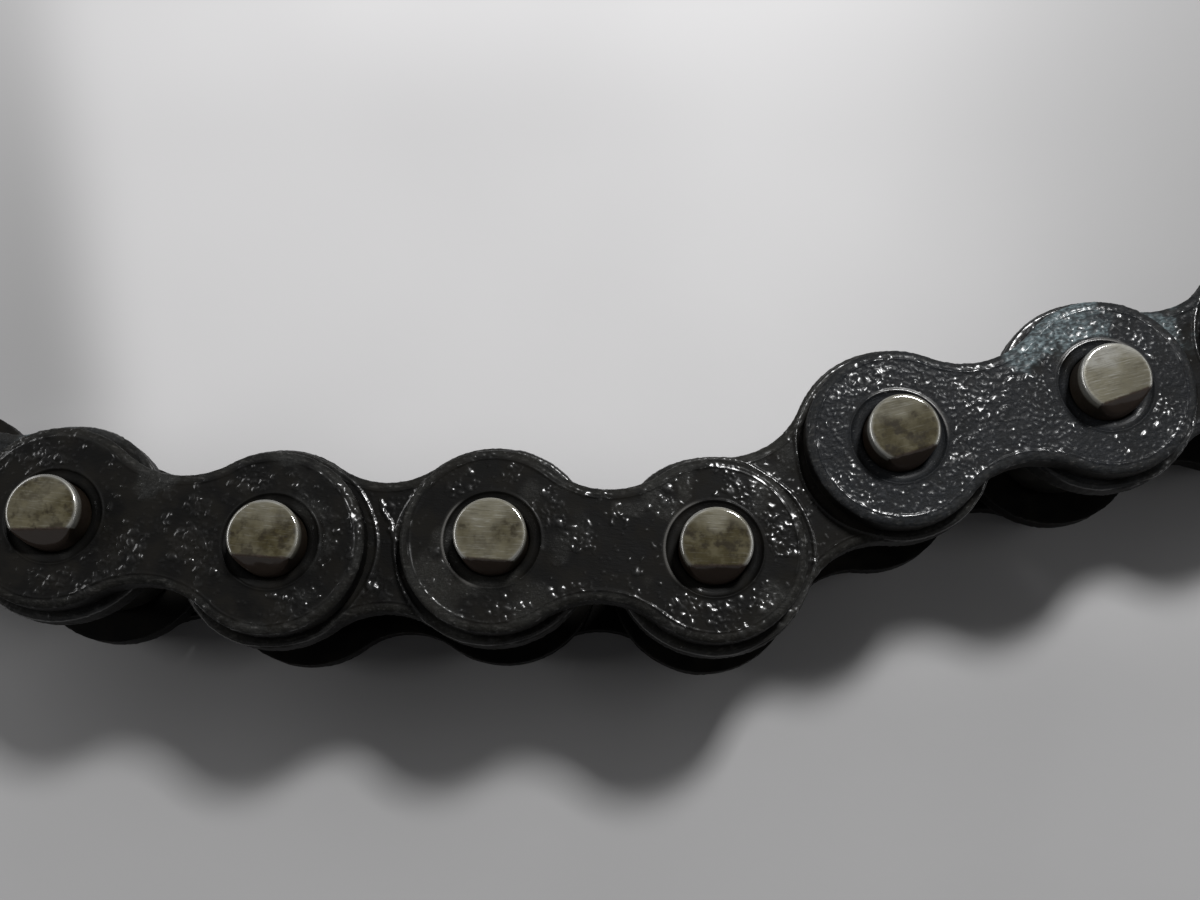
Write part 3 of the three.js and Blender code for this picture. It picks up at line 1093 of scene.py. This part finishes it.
# How pale the floor is along Y, from in front of the chain to well behind it. It is darker in front:
# painted shade for light that falls off towards the front.
FLOOR_TONES_PAINTED_SHADE = ((-16 * MM, 0.33), (6 * MM, 0.54), (26 * MM, 0.56), (45 * MM, 0.68))
# Behind the chain the floor is painted darker at the sides, a painted shade for light that falls off
# there: by how much, where that begins and is full along Y, and leftwards and rightwards along X.
FLOOR_SIDE_PAINTED_SHADE = 0.5
FLOOR_SIDE_PAINTED_SHADE_BACK = (-8 * MM, 8 * MM)
FLOOR_SIDE_PAINTED_SHADE_LEFT = (39 * MM, 52 * MM)
FLOOR_SIDE_PAINTED_SHADE_RIGHT = (-16 * MM, 50 * MM)
FLOOR_SPREAD = 6                # how much farther left that begins, as a share per metre of Y
# All round the chain these tones give way to one: its paleness, and between which distances.
FLOOR_FAR = 0.46
FLOOR_FADE = (50 * MM, 92 * MM)
FLOOR_CLOUD = 38.0              # in millimetres, across a faint cloud on the floor


def middle():
    """The point that the camera looks at, level with the outer plates' upper faces."""
    low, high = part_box("outer_plate_top_2")
    return Vector(((low.x + high.x) / 2, (low.y + high.y) / 2, high.z)) + VIEW_TARGET_OFFSET


def direction(turn, elevation):
    """A unit vector at an angle from +Y towards +X, and an elevation."""
    level = math.cos(elevation)
    return Vector((level * math.sin(turn), level * math.cos(turn), math.sin(elevation)))


def aim(back, up, roll=0.0):
    """The rotation of a lamp or camera whose back is turned that way, with up upwards in its view."""
    right = Vector(up).cross(back).normalized()
    turned = Matrix((right, back.cross(right), back)).transposed()
    return (turned @ Matrix.Rotation(roll, 3, "Z")).to_quaternion()


def floor_material():
    """A pale floor with painted shade: darker in front of the chain and at the sides behind it."""
    m = Material("pale_floor_painted_shade")
    where = m.add("TexCoord").outputs["Object"]
    parts = m.add("SeparateXYZ", Vector=where).outputs
    x, y = parts["X"], parts["Y"]
    # Painted shade along Y: the floor darkens towards the front.
    tone = FLOOR_TONES_PAINTED_SHADE[0][1]
    for (low, dark), (high, light) in zip(FLOOR_TONES_PAINTED_SHADE, FLOOR_TONES_PAINTED_SHADE[1:]):
        tone = m.math("ADD", tone, m.step(y, low, high, 0.0, light - dark))
    cloud = m.step(m.noise(m.place((4, 0, 0)), FLOOR_CLOUD, 2), 0.3, 0.7, 0.93, 1.0)
    # Painted shade at the sides behind the chain.
    spread = m.math("ADD", m.math("MULTIPLY", y, FLOOR_SPREAD), 1)
    left = m.step(m.math("DIVIDE", m.math("MULTIPLY", x, -1), spread), *FLOOR_SIDE_PAINTED_SHADE_LEFT)
    right = m.step(x, *FLOOR_SIDE_PAINTED_SHADE_RIGHT)
    sides = m.math("MULTIPLY", m.math("MAXIMUM", left, right), m.step(y, *FLOOR_SIDE_PAINTED_SHADE_BACK))
    tone = m.math("MULTIPLY", tone, m.step(sides, 0.0, 1.0, 1.0, 1 - FLOOR_SIDE_PAINTED_SHADE))
    away = m.add("VectorMath", {"operation": "LENGTH"}, n0=where).outputs["Value"]
    near = m.step(away, *FLOOR_FADE, 1.0, 0.0)
    tone = m.math("ADD", m.math("MULTIPLY", m.math("SUBTRACT", tone, FLOOR_FAR), near), FLOOR_FAR)
    tone = m.math("MULTIPLY", tone, cloud)
    base = m.add("CombineColor", Red=tone, Green=m.math("MULTIPLY", tone, 0.992), Blue=tone)
    fine = m.noise(m.place((0, 0, 0)), 2.5, 2)
    return m.finish(fine, 0.01, Base_Color=base.outputs[0], Roughness=0.55)


def make_floor():
    mesh = bpy.data.meshes.new("floor")
    half = FLOOR_HALF
    corners = [(-half, -half, 0), (half, -half, 0), (half, half, 0), (-half, half, 0)]
    mesh.from_pydata(corners, [], [(0, 1, 2, 3)])
    mesh.materials.append(floor_material())
    floor = bpy.data.objects.new("floor", mesh)
    bpy.context.scene.collection.objects.link(floor)


def add_lamp(name, turn, elevation, distance, size, power):
    """A rectangular lamp that faces the point that the camera looks at."""
    light = bpy.data.lights.new(name, "AREA")
    light.shape = "RECTANGLE"
    light.size, light.size_y = size
    light.energy = power
    lamp = bpy.data.objects.new(name, light)
    bpy.context.scene.collection.objects.link(lamp)
    back = direction(math.radians(turn), math.radians(elevation))
    lamp.location = middle() + back * distance
    lamp.rotation_mode = "QUATERNION"
    lamp.rotation_quaternion = aim(back, (0, 0, 1))


def make_lights():
    world = bpy.data.worlds.new("studio")
    world.use_nodes = True
    world.node_tree.nodes["Background"].inputs["Color"].default_value = WORLD_COLOUR
    bpy.context.scene.world = world
    for name, settings in LAMPS.items():
        add_lamp(name, *settings)


def make_camera():
    data = bpy.data.cameras.new("camera")
    data.sensor_width = SENSOR_WIDTH
    data.lens = LENS
    data.clip_start, data.clip_end = CLIP
    camera = bpy.data.objects.new("camera", data)
    bpy.context.scene.collection.objects.link(camera)
    back = direction(math.pi - VIEW_TURN, math.pi / 2 - VIEW_TILT)
    camera.location = middle() + back * VIEW_DISTANCE
    camera.rotation_mode = "QUATERNION"
    camera.rotation_quaternion = aim(back, (0, 1, 0), VIEW_ROLL)
    bpy.context.scene.camera = camera


bpy.context.scene.view_settings.view_transform = "Standard"
build_chain()
make_floor()
make_lights()
make_camera()
